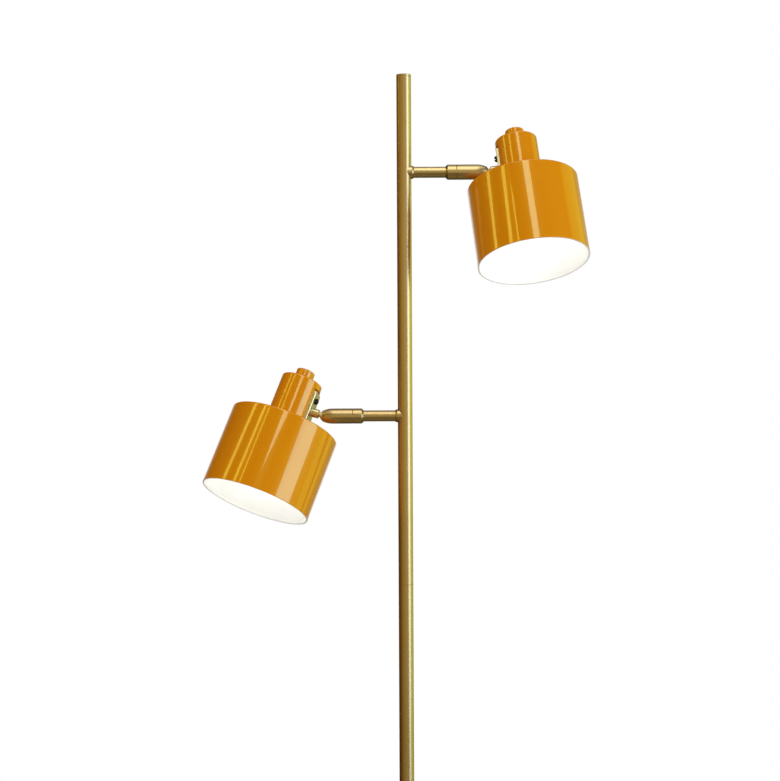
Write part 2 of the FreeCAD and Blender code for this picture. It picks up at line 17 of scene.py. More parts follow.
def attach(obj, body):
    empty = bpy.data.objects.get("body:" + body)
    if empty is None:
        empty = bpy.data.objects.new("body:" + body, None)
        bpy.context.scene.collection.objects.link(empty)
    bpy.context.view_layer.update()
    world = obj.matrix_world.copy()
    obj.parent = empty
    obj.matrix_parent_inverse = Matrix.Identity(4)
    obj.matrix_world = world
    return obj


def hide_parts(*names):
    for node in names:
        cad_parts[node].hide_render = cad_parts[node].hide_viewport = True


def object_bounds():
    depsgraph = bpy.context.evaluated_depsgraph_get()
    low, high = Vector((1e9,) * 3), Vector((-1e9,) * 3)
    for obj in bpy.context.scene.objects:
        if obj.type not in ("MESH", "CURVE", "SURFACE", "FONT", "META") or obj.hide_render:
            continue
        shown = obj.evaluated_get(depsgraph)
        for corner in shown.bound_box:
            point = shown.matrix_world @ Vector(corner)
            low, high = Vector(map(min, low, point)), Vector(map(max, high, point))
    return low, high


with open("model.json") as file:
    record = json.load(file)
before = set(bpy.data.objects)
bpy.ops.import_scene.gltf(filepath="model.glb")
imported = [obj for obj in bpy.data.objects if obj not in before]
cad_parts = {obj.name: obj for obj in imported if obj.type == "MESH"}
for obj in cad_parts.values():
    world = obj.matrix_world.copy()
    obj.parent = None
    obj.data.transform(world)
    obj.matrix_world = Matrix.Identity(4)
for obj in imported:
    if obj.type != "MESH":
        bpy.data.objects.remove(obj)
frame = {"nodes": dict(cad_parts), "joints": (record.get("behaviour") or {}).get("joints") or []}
cad_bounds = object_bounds()
MM = 0.001
LAMPS = ("upper", "lower")
print("CAD box", [[round(x, 4) for x in corner] for corner in cad_bounds])

# %% [markdown]
# ## Where things are
# A lathe piece needs an axis. The pole's axis is the frame's own Z. An arm's axis leaves the pole sideways
# at the height of its joint. A shade's axis could be read from angles, but it is safer to measure it: the
# bulb and the round nut on top are both centred on it, so the line through their centres is the axis.
# A place below is an origin and a matrix whose columns are the directions x, y and z of the piece.


# %% Measuring the frame
def corners_of(node):
    """All vertices of a CAD node, as an array of points."""
    mesh = frame["nodes"][node].data
    flat = np.empty(len(mesh.vertices) * 3, np.float32)
    mesh.vertices.foreach_get("co", flat)
    return flat.reshape(-1, 3).astype(float)


def surface_center(node):
    """Centre of a node's surface: each triangle's middle, weighted by its area."""
    mesh = frame["nodes"][node].data
    mesh.calc_loop_triangles()
    index = np.empty(len(mesh.loop_triangles) * 3, np.int32)
    mesh.loop_triangles.foreach_get("vertices", index)
    triangles = corners_of(node)[index.reshape(-1, 3)]
    sides = np.cross(triangles[:, 1] - triangles[:, 0], triangles[:, 2] - triangles[:, 0])
    area = np.linalg.norm(sides, axis=1)
    return (triangles.mean(axis=1) * area[:, None]).sum(axis=0) / area.sum()


def unit(vector):
    """The same direction with length 1."""
    return np.asarray(vector, float) / np.linalg.norm(vector)


def place(origin, z_axis, x_hint):
    """Origin and direction matrix from an axis and a rough sideways direction."""
    z_axis = unit(z_axis)
    x_axis = unit(np.asarray(x_hint) - np.dot(x_hint, z_axis) * z_axis)
    return np.asarray(origin, float), np.column_stack([x_axis, np.cross(z_axis, x_axis), z_axis])


def reach(node, where):
    """Lowest and highest z and least and greatest radius of a CAD node about a place's axis."""
    origin, turn = where
    local = (corners_of(node) - origin) @ turn
    radius = np.hypot(local[:, 0], local[:, 1])
    return local[:, 2].min(), local[:, 2].max(), radius.min(), radius.max()


ball = {j["child"].split("_")[0]: np.array(j["pos_m"]) for j in frame["joints"] if "_roll" in j["name"]}
pole_place = place((0, 0, 0), (0, 0, 1), (1, 0, 0))
arm_place, shade_place = {}, {}
for lamp in LAMPS:
    outwards = (math.copysign(1, ball[lamp][0]), 0, 0)
    arm_place[lamp] = place((0, 0, ball[lamp][2]), outwards, (0, 0, 1))
    bottom, top = surface_center(lamp + "_bulb_glass"), surface_center(lamp + "_finial_nut")
    rough = place(top, top - bottom, ball[lamp] - top)
    top_face = rough[0] + rough[1][:, 2] * reach(lamp + "_shade", rough)[1]
    shade_place[lamp] = (top_face, rough[1])
    print(lamp, "ball", ball[lamp].round(4), "shade axis", rough[1][:, 2].round(3))

# %% [markdown]
# ## The camera
# The photograph was taken level with the middle of the picture, from about 1.7 m. Its frame cuts the pole
# off far above the floor. The pole leans a quarter of a degree in the picture, which is a slight roll of
# the camera. Places in the picture are pixels, and one pixel is 1.085 mm at the pole.

# %% Camera
PICTURE = 781                 # pixels on the long side
PIXEL = 1.085 * MM            # size of a pixel at the pole
CAMERA_PIXELS = 1600          # distance to the pole, in pixels
POLE_COLUMN = 405.05 - 390.0  # pole to the right of the picture's middle
TOP_ROW = 390.5 - 74.84       # pole's top above the picture's middle
ROLL = 0.27

camera_data = bpy.data.cameras.new("camera")
camera_data.sensor_width = 36.0
camera_data.lens = 36.0 * CAMERA_PIXELS / PICTURE
camera = bpy.data.objects.new("camera", camera_data)
bpy.context.scene.collection.objects.link(camera)
bpy.context.scene.camera = camera
camera.location = (-POLE_COLUMN * PIXEL, -CAMERA_PIXELS * PIXEL, cad_bounds[1].z - TOP_ROW * PIXEL)
camera.rotation_euler = (math.radians(90), math.radians(ROLL), 0)
print("lens", round(camera_data.lens, 2), "camera at", [round(x, 3) for x in camera.location])

# %% [markdown]
# ## Shader maths as Python
# Every finish is a small graph of nodes. Wrapping a socket in a class that knows plus, minus and times
# lets a pattern be written as an expression. Numbers alone are worked out in Python before they reach it.


# %% Sockets and finishes
# A Mix node counts its sockets over all its types, so a colour mix has these numbers.
MIX_FACTOR, MIX_A, MIX_B, MIX_COLOR = 0, 6, 7, 2


class Wire:
    """A node's output socket, with arithmetic that adds Math nodes."""

    def __init__(self, finish, socket):
        self.finish, self.socket = finish, socket

    def _math(self, operation, *values):
        return self.finish.node("ShaderNodeMath", {"operation": operation}, dict(enumerate(values)))

    def __add__(self, other):
        return self._math("ADD", self, other)

    __radd__ = __add__

    def __sub__(self, other):
        return self._math("SUBTRACT", self, other)

    def __rsub__(self, other):
        return self._math("SUBTRACT", other, self)

    def __mul__(self, other):
        return self._math("MULTIPLY", self, other)

    __rmul__ = __mul__

    def clamp(self, low, high):
        return self._math("MINIMUM", self._math("MAXIMUM", self, low), high)


class Finish:
    """A material with one Principled shader. Constants go on its own sockets."""

    def __init__(self, name, color, roughness, settings=None):
        self.material = bpy.data.materials.new(name)
        self.material.use_nodes = True
        self.tree = self.material.node_tree
        self.shader = self.tree.nodes["Principled BSDF"]
        self.shader.inputs["Base Color"].default_value = (*color, 1)
        self.shader.inputs["Roughness"].default_value = roughness
        for socket, value in (settings or {}).items():
            self.shader.inputs[socket].default_value = value

    def node(self, kind, settings, values, output=0):
        """Adds a node, applies its settings, then fills its sockets with values or wires."""
        made = self.tree.nodes.new(kind)
        for key, value in settings.items():
            setattr(made, key, value)
        for key, value in values.items():
            if isinstance(value, Wire):
                self.tree.links.new(value.socket, made.inputs[key])
            else:
                made.inputs[key].default_value = value
        return Wire(self, made.outputs[output])

    def feed(self, socket, wire):
        """Lets a pattern drive one of the shader's sockets."""
        self.tree.links.new(wire.socket, self.shader.inputs[socket])

    def position(self, scale=(1, 1, 1)):
        """Object coordinates, stretched by a scale for each axis."""
        here = self.node("ShaderNodeTexCoord", {}, {}, "Object")
        return self.node("ShaderNodeMapping", {}, {"Vector": here, "Scale": scale})

    def noise(self, scale, detail=2.0, stretch=(1, 1, 1)):
        """Cloudy pattern from 0 to 1; a small stretch for an axis draws it out along that axis."""
        return self.node("ShaderNodeTexNoise", {}, {"Vector": self.position(stretch), "Scale": scale,
                                                    "Detail": detail}, "Fac")

    def shade_between(self, factor, first, second):
        """Colour that goes from the first to the second as the factor goes from 0 to 1."""
        return self.node("ShaderNodeMix", {"data_type": "RGBA"},
                         {MIX_FACTOR: factor, MIX_A: (*first, 1), MIX_B: (*second, 1)}, MIX_COLOR)

    def bump(self, height, distance, strength=1.0):
        """Normals of a surface that a pattern lifts by up to a distance in metres."""
        return self.node("ShaderNodeBump", {}, {"Height": height, "Distance": distance,
                                                "Strength": strength})


# %% [markdown]
# ## Satin brass
# The tubes are drawn brass, brushed and then lacquered. They mirror the room, but softly, so a lamp in the
# room becomes a broad band along the tube. That softness is roughness. Drawing and brushing leave very
# faint lines along the length, and old lacquer browns a little where hands have been. A long thin noise
# gives the lines, and a broad one the browning. Both stay weak, because from a step away neither is seen.


# %% Brass
BRASS = (0.53, 0.40, 0.25)
BRASS_BROWNED = (0.49, 0.35, 0.18)


def brass(name, along, color=BRASS, browned=BRASS_BROWNED):
    """Brass drawn along one axis of the frame: 0, 1 or 2."""
    stretch = [1.0, 1.0, 1.0]
    stretch[along] = 0.02
    made = Finish(name, color, 0.32, {"Metallic": 1.0})
    lines = made.noise(900.0, 2.0, stretch)
    browning = made.noise(14.0, 2.0)
    made.feed("Base Color", made.shade_between((browning * 1.6 - 0.45).clamp(0, 1), color, browned))
    made.feed("Roughness", 0.29 + lines * 0.03 + browning * 0.04)
    made.feed("Normal", made.bump(lines, 0.00001, 0.04))
    return made


brass_upright = brass("brass_pole", 2)
brass_level = brass("brass_arm", 0)
brass_pale = brass("brass_pale", 2, (0.80, 0.72, 0.56), (0.72, 0.62, 0.44))
print("drawn brass:", brass_upright.material.name, brass_level.material.name, brass_pale.material.name)

# %% [markdown]
# The base was spun, not drawn: its faint lines run round the pole. Here they are rings, a wave over the
# distance from the axis.

# %% Spun brass
brass_spun = Finish("brass_spun", BRASS, 0.34, {"Metallic": 1.0})
rings = brass_spun.node("ShaderNodeTexWave", {"wave_type": "RINGS", "rings_direction": "Z"},
                        {"Vector": brass_spun.position(), "Scale": 160.0, "Distortion": 0.6,
                         "Detail": 3.0}, "Fac")
worn = brass_spun.noise(9.0, 5.0)
spots = (worn * 2.0 - 0.6).clamp(0, 1)
brass_spun.feed("Base Color", brass_spun.shade_between(spots, BRASS, BRASS_BROWNED))
brass_spun.feed("Roughness", 0.26 + rings * 0.05 + worn * 0.1)
brass_spun.feed("Normal", brass_spun.bump(rings, 0.00002, 0.3))
print("spun brass:", len(brass_spun.tree.nodes), "nodes")

# %% [markdown]
# ## Mustard lacquer and white enamel
# The shades are sprayed sheet metal: a thick mustard colour under a glossy clear coat. Light is mirrored
# twice, once by the coat, which keeps it white, and once by the paint, which takes the blue out of it.
# Sprayed gloss is never quite flat. It has a soft ripple called orange peel, about a millimetre across,
# which makes the edges of reflections tremble. Inside, down to the very edge, the shade is white enamel,
# which throws the bulb's light down.

# %% Lacquer and enamel
MUSTARD = (0.70, 0.245, 0.0)
MUSTARD_DEEP = (0.66, 0.215, 0.0)
ENAMEL = (0.88, 0.88, 0.87)

lacquer = Finish("mustard_lacquer", MUSTARD, 0.2,
                 {"Specular Tint": (0.55, 1.0, 0.25, 1.0), "Coat Weight": 0.85, "Coat Roughness": 0.03,
                  "Coat IOR": 1.6})
cloud = lacquer.noise(22.0, 3.0)
peel = lacquer.noise(650.0, 1.0)
lacquer.feed("Base Color", lacquer.shade_between(cloud, MUSTARD, MUSTARD_DEEP))
lacquer.feed("Roughness", 0.14 + cloud * 0.12)
lacquer.feed("Normal", lacquer.bump(peel, 0.00012, 0.05))

enamel = Finish("white_enamel", ENAMEL, 0.35, {"Coat Weight": 0.4, "Coat Roughness": 0.1})
dust = enamel.noise(60.0, 5.0)
enamel.feed("Base Color", enamel.shade_between((dust * 1.8 - 0.7).clamp(0, 1), ENAMEL, (0.86, 0.85, 0.82)))
enamel.feed("Normal", enamel.bump(enamel.noise(500.0, 1.0), 0.0001, 0.05))
print("lacquer:", len(lacquer.tree.nodes), "nodes; enamel:", len(enamel.tree.nodes), "nodes")

# %% [markdown]
# ## The small finishes
# Blackened screws, bright zinc on hidden steel, cast iron, moulded black phenolic, nylon, felted rubber
# and the bulb's opal glass. Each is a base colour with the grain that the stuff really has.

# %% Small finishes
blackened = Finish("blackened_steel", (0.014, 0.013, 0.012), 0.38, {"Metallic": 0.6})
blackened.feed("Roughness", 0.3 + blackened.noise(900.0, 3.0) * 0.25)

zinc = Finish("zinc_plate", (0.6, 0.6, 0.57), 0.35, {"Metallic": 1.0})
zinc.feed("Roughness", 0.22 + zinc.noise(300.0, 4.0) * 0.3)

iron = Finish("cast_iron", (0.05, 0.05, 0.052), 0.7, {"Metallic": 0.4})
grit = iron.noise(700.0, 4.0)
iron.feed("Roughness", 0.5 + grit * 0.4)
iron.feed("Normal", iron.bump(grit, 0.0003, 0.5))

phenolic = Finish("phenolic", (0.022, 0.018, 0.015), 0.4)
phenolic.feed("Base Color", phenolic.shade_between(phenolic.noise(90.0, 5.0), (0.018, 0.015, 0.013),
                                                   (0.034, 0.028, 0.022)))
phenolic.feed("Roughness", 0.3 + phenolic.noise(400.0, 3.0) * 0.25)

nylon = Finish("nylon", (0.74, 0.71, 0.63), 0.45)
nylon.feed("Roughness", 0.35 + nylon.noise(200.0, 3.0) * 0.2)

pad_rubber = Finish("pad_rubber", (0.03, 0.03, 0.03), 0.9)
pad_rubber.feed("Normal", pad_rubber.bump(pad_rubber.noise(1400.0, 4.0), 0.0003, 0.6))

opal = Finish("opal_glass", (0.95, 0.94, 0.9), 0.25, {"Emission Strength": 3.8})
glow = opal.noise(40.0, 2.0)
opal.feed("Emission Color", opal.shade_between(glow, (1.0, 1.0, 0.98), (1.0, 0.99, 0.95)))
print("finishes", len(bpy.data.materials))

# %% [markdown]
# ## Turning a profile
# A turned piece is a profile of corners (radius, height) swept round its axis. Real corners are never
# sharp, so each one is replaced by a small arc that touches both sides. Two extra rings close to each
# arc keep the long faces between them shaded straight.


# %% Profiles
ARC_SHARE = 0.45   # most of a side that one corner's arc may take up
FOLD = 40          # degrees; sharper folds between faces stay sharp in the shading
SMALL, MEDIUM, LARGE, WIDE = 96, 128, 192, 256   # sides of a turned piece


def rounded(corners, steps=5, closed=True):
    """Points of a profile whose corners (r, z, bevel) are arcs; the arc touches both its sides."""
    flat = np.array([c[:2] for c in corners], float)
    found = []
    for k, (r, z, bevel) in enumerate(corners):
        here, before, after = flat[k], flat[k - 1], flat[(k + 1) % len(flat)]
        end = not closed and k in (0, len(corners) - 1)
        if bevel <= 0 or end:
            found.append(here[None])
            continue
        back, ahead = unit(before - here), unit(after - here)
        half = math.acos(np.clip(np.dot(back, ahead), -1, 1)) / 2
        limit = ARC_SHARE * min(np.linalg.norm(before - here), np.linalg.norm(after - here))
        cut = min(bevel / math.tan(half), limit)
        radius = cut * math.tan(half)
        center = here + unit(back + ahead) * radius / math.sin(half)
        start, stop = here + back * cut - center, here + ahead * cut - center
        sweep = math.pi - 2 * half
        share = np.linspace(0, 1, steps + 1)[:, None]
        arc = (np.sin((1 - share) * sweep) * start + np.sin(share * sweep) * stop) / math.sin(sweep)
        hold = min(cut * 0.5, limit * 0.1)
        found.append(np.vstack([here + back * (cut + hold), center + arc, here + ahead * (cut + hold)]))
    return np.vstack(found)


def make_mesh(name, points, faces, finishes, face_finish, body, replaced):
    """Puts a computed surface into an object that rides on a body and stands for CAD nodes.
    face_finish is each face's place in the list of finishes."""
    mesh = bpy.data.meshes.new(name)
    mesh.from_pydata(points.tolist(), [], faces)
    mesh.validate()
    for finish in finishes:
        mesh.materials.append(finish.material)
    mesh.polygons.foreach_set("material_index", np.asarray(face_finish, np.int32))
    mesh.polygons.foreach_set("use_smooth", np.ones(len(mesh.polygons), bool))
    mesh.set_sharp_from_angle(angle=math.radians(FOLD))
    made = bpy.data.objects.new(name, mesh)
    bpy.context.scene.collection.objects.link(made)
    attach(made, body)
    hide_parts(*replaced)
    print(name, len(mesh.vertices), "points,", len(mesh.polygons), "faces")


def turned(name, profile, where, finish, body, replaced, sides, closed=True, press=None,
           second=None):
    """Sweeps a profile round a place's axis: point = origin + x r cos(a) + y r sin(a) + z h.
    press(points) may push points in before they are placed. second is a finish for the part of the
    profile that its test picks."""
    profile = np.asarray(profile, float)
    origin, turn = where
    angle = np.linspace(0, 2 * math.pi, sides, endpoint=False)
    radius, height = profile[:, :1], profile[:, 1:]
    local = np.stack([radius * np.cos(angle), radius * np.sin(angle), height + 0 * angle], axis=-1)
    if press:
        local = press(local)
    points = (local @ turn.T + origin).reshape(-1, 3)
    rows, turns = len(profile), np.arange(sides)
    index = np.arange(rows * sides).reshape(rows, sides)
    poles = profile[:, 0] < 1e-9  # rings of no size, which close up to one point
    index[poles] = index[poles][:, :1]
    faces, marks = [], []
    following = np.roll(turns, -1)
    for row in range(rows if closed else rows - 1):
        low, high = index[row], index[(row + 1) % rows]
        quads = np.stack([low, low[following], high[following], high], axis=1)
        picked = int(bool(second) and second[1](profile[row], profile[(row + 1) % rows]))
        for quad in quads.tolist():
            face = list(dict.fromkeys(quad))
            if len(face) > 2:
                faces.append(face)
                marks.append(picked)
    used = np.unique(np.concatenate(faces))
    renumber = np.full(len(points), -1)
    renumber[used] = np.arange(len(used))
    faces = [[int(renumber[i]) for i in face] for face in faces]
    finishes = [finish] + ([second[0]] if second else [])
    make_mesh(name, points[used], faces, finishes, marks, body, replaced)


# %% [markdown]
# ## The pole
# Three lengths of tube screwed together, with a flat plug in the top. Where two lengths meet, both ends
# are a little rounded, and that shows as one hairline. The profile runs up the outside and down the bore.

# %% Pole
TUBE_BORE, TUBE_EDGE = 6.8 * MM, 0.25 * MM
for name in ("pole_bottom", "pole_middle", "pole_top"):
    low, high, _, radius = reach(name, pole_place)
    turned(name + "_tube", rounded([(radius, low, TUBE_EDGE), (radius, high, TUBE_EDGE),
                                    (TUBE_BORE, high, TUBE_EDGE), (TUBE_BORE, low, TUBE_EDGE)]),
           pole_place, brass_upright, "stand", [name], SMALL)
low, high, _, radius = reach("top_cap", pole_place)
tube_top = reach("pole_top", pole_place)[1]
plug = reach("joint_studs", pole_place)[3]
turned("pole_cap", rounded([(0, low, 0), (plug, low, 0.2 * MM), (plug, tube_top, 0),
                            (radius, tube_top, TUBE_EDGE), (radius, high, 0.5 * MM), (0, high, 0)],
                           closed=False),
       pole_place, brass_upright, "stand", ["top_cap"], SMALL, closed=False)

# %% [markdown]
# ## The foot
# A spun brass dish covers a cast iron weight. Its edge is rolled over, and a turned collar dresses the
# place where the pole goes in.

# %% Foot
COVER_WALL, COVER_ROLL, COVER_HEM = 1.2 * MM, 6.0 * MM, 0.3 * MM
low, high, bore, radius = reach("base_cover", pole_place)
inner = radius - COVER_WALL
turned("foot_cover", rounded([(bore, high, 0), (radius, high, COVER_ROLL), (radius, low, COVER_HEM),
                              (inner, low, COVER_HEM), (inner, high - COVER_WALL, COVER_ROLL - COVER_WALL),
                              (bore, high - COVER_WALL, 0)], 10),
       pole_place, brass_spun, "stand", ["base_cover"], WIDE)

SKIRT, SLOPE, WAIST = 2.5 * MM, 5.2 * MM, 10.5 * MM  # two heights of the collar, and its slim radius
low, high, bore, radius = reach("base_collar", pole_place)
turned("foot_collar", rounded([(bore, low, 0), (radius, low, 0.3 * MM), (radius, low + SKIRT, 0.6 * MM),
                               (WAIST + 0.9 * MM, low + SLOPE, 4 * MM), (WAIST, high, 0.5 * MM),
                               (bore, high, 0.2 * MM)], 6),
       pole_place, brass_spun, "stand", ["base_collar"], MEDIUM)

# %% [markdown]
# ## The arms
# From the pole outwards: a saddle washer hollowed to fit the tube, the thin arm, a lock collar with a
# long bevel at its back, and the housing. A saddle is first turned like the rest, and then its inner end
# is pushed out to the tube, point by point, which is simpler than cutting one solid with another.

# %% Saddles, arms and collars
SADDLE_BORE, SADDLE_LIP, SADDLE_FRONT = 4.1 * MM, 0.6 * MM, 6.4 * MM
COLLAR_LENGTH, COLLAR_BEVEL, SPIGOT = 12.0 * MM, 2.2 * MM, 6.9 * MM
pole_radius = reach("pole_top", pole_place)[3]


def seat_on_pole(local):
    """Keeps a saddle outside the pole: height is at least sqrt(R squared - y squared)."""
    surface = np.sqrt(pole_radius**2 - local[..., 1] ** 2)
    local[..., 2] = np.maximum(local[..., 2], surface)
    return local


for lamp in LAMPS:
    where = arm_place[lamp]
    low, high, _, radius = reach(lamp + "_saddle", where)
    turned(lamp + "_saddle_washer",
           rounded([(SADDLE_BORE, low, 0), (radius, low, 0), (radius, pole_radius + SADDLE_LIP, 0.4 * MM),
                    (SADDLE_FRONT, high, 0.3 * MM), (SADDLE_BORE, high, 0)]),
           where, brass_level, "stand", [lamp + "_saddle"], SMALL, press=seat_on_pole)
    low, high, bore, radius = reach(lamp + "_arm_tube", where)
    turned(lamp + "_arm", rounded([(bore, low, 0), (radius, low, 0.2 * MM), (radius, high, 0.2 * MM),
                                   (bore, high, 0)]),
           where, brass_level, "stand", [lamp + "_arm_tube"], SMALL)
    low, high, bore, radius = reach(lamp + "_lock_collar", where)
    front = low + COLLAR_LENGTH
    turned(lamp + "_collar", rounded([(bore, low, 0), (radius - COLLAR_BEVEL + 0.3 * MM, low, 0.15 * MM),
                                      (radius, low + COLLAR_BEVEL, 0.5 * MM), (radius, front, 0.45 * MM),
                                      (SPIGOT, front, 0), (SPIGOT, high, 0), (bore, high, 0)]),
           where, brass_level, "stand", [lamp + "_lock_collar"], MEDIUM)

# %% [markdown]
# ## The housings
# Between collar and housing is a fine groove. The housing's nose is a quarter of an ellipse, cut off where
# its mouth grips the ball. Inside is a round cup a little larger than the ball, and behind it the bore
# that the collar screws into. A bought part would be turned in one go, and so is this: nose, cup and bore
# are one profile.

# %% Housings
NOSE, LIP = 12.1 * MM, 0.5 * MM
BALL, PLAY, GRIP = 5.8 * MM, 0.1 * MM, 0.95 * MM
THREAD_BORE, THREAD_DEPTH, CUP_DEPTH = 6.95 * MM, 19 * MM, 20 * MM
for lamp in LAMPS:
    where = arm_place[lamp]
    low, high, _, radius = reach(lamp + "_joint_housing", where)
    cup = BALL + PLAY
    mouth = cup - GRIP
    start = high - NOSE
    # The nose: r = R sqrt(1 - (h / a) squared), with a such that r is the mouth and its lip at h = NOSE.
    along = np.linspace(0, NOSE, 25)
    half_axis = NOSE / math.sqrt(1 - ((mouth + LIP) / radius) ** 2)
    nose = np.column_stack([radius * np.sqrt(1 - (along / half_axis) ** 2), start + along])
    # The cup: a part of a circle about the ball's centre, from the mouth to its widest place.
    center = high - math.sqrt(cup**2 - mouth**2)
    opening = np.linspace(math.asin(mouth / cup), math.pi / 2, 13)
    inside = np.column_stack([cup * np.sin(opening), center + cup * np.cos(opening)])
    rear = rounded([(cup, center, 0), (cup, low + CUP_DEPTH, 0), (THREAD_BORE, low + THREAD_DEPTH, 0),
                    (THREAD_BORE, low, 0), (radius, low, 0.45 * MM), (radius, start, 0)], closed=False)
    turned(lamp + "_housing", np.vstack([nose, inside[1:-1], rear[:-1]]), where, brass_level, "stand",
           [lamp + "_joint_housing"], MEDIUM)

# %% [markdown]
# ## The ball studs
# Ball, undercut neck and collar are one turned piece. The undercut is what lets the stud lean: without
# it the collar would meet the housing's lip. The stud's axis runs from the ball's centre to the shade.

# %% Ball studs
NECK, STUD, STUD_BORE, COLLAR = 2.6 * MM, 2.9 * MM, 1.6 * MM, 4.8 * MM  # radii
NECK_END, COLLAR_START = 6.2 * MM, 7.4 * MM                              # distances from the ball's centre
PLATE_GAP = 0.05 * MM
for lamp in LAMPS:
    inwards = shade_place[lamp][1][:, 0]
    where = place(ball[lamp], -inwards, shade_place[lamp][1][:, 2])
    high = reach(lamp + "_ball_stud", where)[1]
    face = reach(lamp + "_bracket_plate", where)[0] - PLATE_GAP
    back = math.pi - math.asin(STUD_BORE / BALL)
    sweep = np.linspace(back, math.asin(NECK / BALL), 40)
    round_ball = np.column_stack([BALL * np.sin(sweep), BALL * np.cos(sweep)])
    shaft = rounded([(NECK, BALL, 0), (NECK, NECK_END, 0.4 * MM), (COLLAR, COLLAR_START, 0.4 * MM),
                     (COLLAR, face, 0.3 * MM), (STUD, face, 0), (STUD, high, 0.2 * MM),
                     (STUD_BORE, high, 0)], closed=False)
    turned(lamp + "_stud", np.vstack([round_ball, shaft[1:]]), where, brass_pale, lamp + "_ball",
           [lamp + "_ball_stud"], SMALL)

# %% [markdown]
# ## The shades
# Each shade is three lacquered pieces: the drum, the neck that hides the lampholder, and the round nut on
# top. The drum's lower edge is folded inwards in a narrow hem, which stiffens it. Lacquer covers the
# outside, and enamel the inside and the hem, so a test on the profile picks a finish for each ring of
# faces.

# %% Drums
SHEET, HEM, HEM_HEIGHT = 1.2 * MM, 2.0 * MM, 2.2 * MM


def inside_drum(first, second):
    """True for the part of a drum's profile that is enamelled: all but its top and its outer side."""
    middle = (first + second) / 2
    return middle[0] < drum_radius - 0.25 * MM and middle[1] < -0.7 * SHEET


for lamp in LAMPS:
    where = shade_place[lamp]
    rim, _, hole, drum_radius = reach(lamp + "_shade", where)
    hem_top = rim + HEM_HEIGHT
    turned(lamp + "_drum",
           rounded([(hole, 0, 0), (drum_radius, 0, 1.4 * MM), (drum_radius, rim, 0.5 * MM),
                    (drum_radius - HEM, rim, 0.5 * MM), (drum_radius - HEM, hem_top, 0.3 * MM),
                    (drum_radius - SHEET, hem_top + HEM - SHEET, 0.3 * MM),
                    (drum_radius - SHEET, -SHEET, 1.0 * MM), (hole, -SHEET, 0)], 8),
           where, lacquer, lamp + "_head", [lamp + "_shade"], WIDE,
           second=(enamel, inside_drum))

# %% [markdown]
# ## The necks and their nuts
# A neck is round except for a flat on the side of the arm, cut as far up as the bracket plate. The same
# profile sweep makes it, with its points pushed back to the flat's plane wherever they would stand out
# past it. Two rings close together at the flat's upper end give it a crisp ledge.

# %% Necks
NECK_WALL, NECK_TOP, FLAT_WALL, FLAT_MARGIN = 1.5 * MM, 2.0 * MM, 2.0 * MM, 1.7 * MM
NIPPLE_HOLE, NUT_BORE, NUT_DEPTH = 5.1 * MM, 5.05 * MM, 8 * MM
LEDGE = 0.12 * MM
for lamp in LAMPS:
    where = shade_place[lamp]
    low, high, _, radius = reach(lamp + "_neck_housing", where)
    plate = (corners_of(lamp + "_bracket_plate") - where[0]) @ where[1]
    flat, flat_top = plate[:, 0].min(), plate[:, 2].max() + FLAT_MARGIN
    inner, inner_top = radius - NECK_WALL, flat_top + FLAT_WALL

    def press_flat(local, flat=flat, flat_top=flat_top, radius=radius):
        """Pushes points back to the flat: x is at most the flat's, below its upper end."""
        outer = np.hypot(local[..., 0], local[..., 1]) > radius - 0.7 * NECK_WALL
        limit = np.where(outer, flat, flat - FLAT_WALL)
        end = np.where(outer, flat_top, flat_top + FLAT_WALL)
        past = (local[..., 0] > limit) & (local[..., 2] < end)
        squeeze = np.where(past, limit / np.where(past, local[..., 0], 1), 1)
        local[..., :2] *= squeeze[..., None]
        return local

    outside = rounded([(NIPPLE_HOLE, low, 0), (radius, low, 0.15 * MM), (radius, high, 1.8 * MM),
                       (NIPPLE_HOLE, high, 0)], 10, closed=False)[1:-1]
    split = np.searchsorted(outside[:, 1], flat_top)
    profile = np.vstack([outside[:split], [[radius, flat_top - LEDGE], [radius, flat_top + LEDGE]],
                         outside[split:],
                         [[NIPPLE_HOLE, high], [NIPPLE_HOLE, high - NECK_TOP], [inner, high - NECK_TOP],
                          [inner, inner_top + LEDGE], [inner, inner_top - LEDGE], [inner, low]]])
    turned(lamp + "_neck", profile, where, lacquer, lamp + "_head",
           [lamp + "_neck_housing"], LARGE, press=press_flat)
    low, high, _, radius = reach(lamp + "_finial_nut", where)
    turned(lamp + "_finial", rounded([(NUT_BORE, low + NUT_DEPTH, 0), (NUT_BORE, low, 0),
                                      (radius, low, 0.25 * MM), (radius, high, 1.2 * MM),
                                      (0, high, 0)], 8, closed=False),
           where, lacquer, lamp + "_head", [lamp + "_finial_nut"], MEDIUM, closed=False)

# %% [markdown]
# ## Bulbs
# A small opal globe on a screw cap. Its outline is a circle that runs into the neck along a hollow curve,
# and the glass itself gives the light.

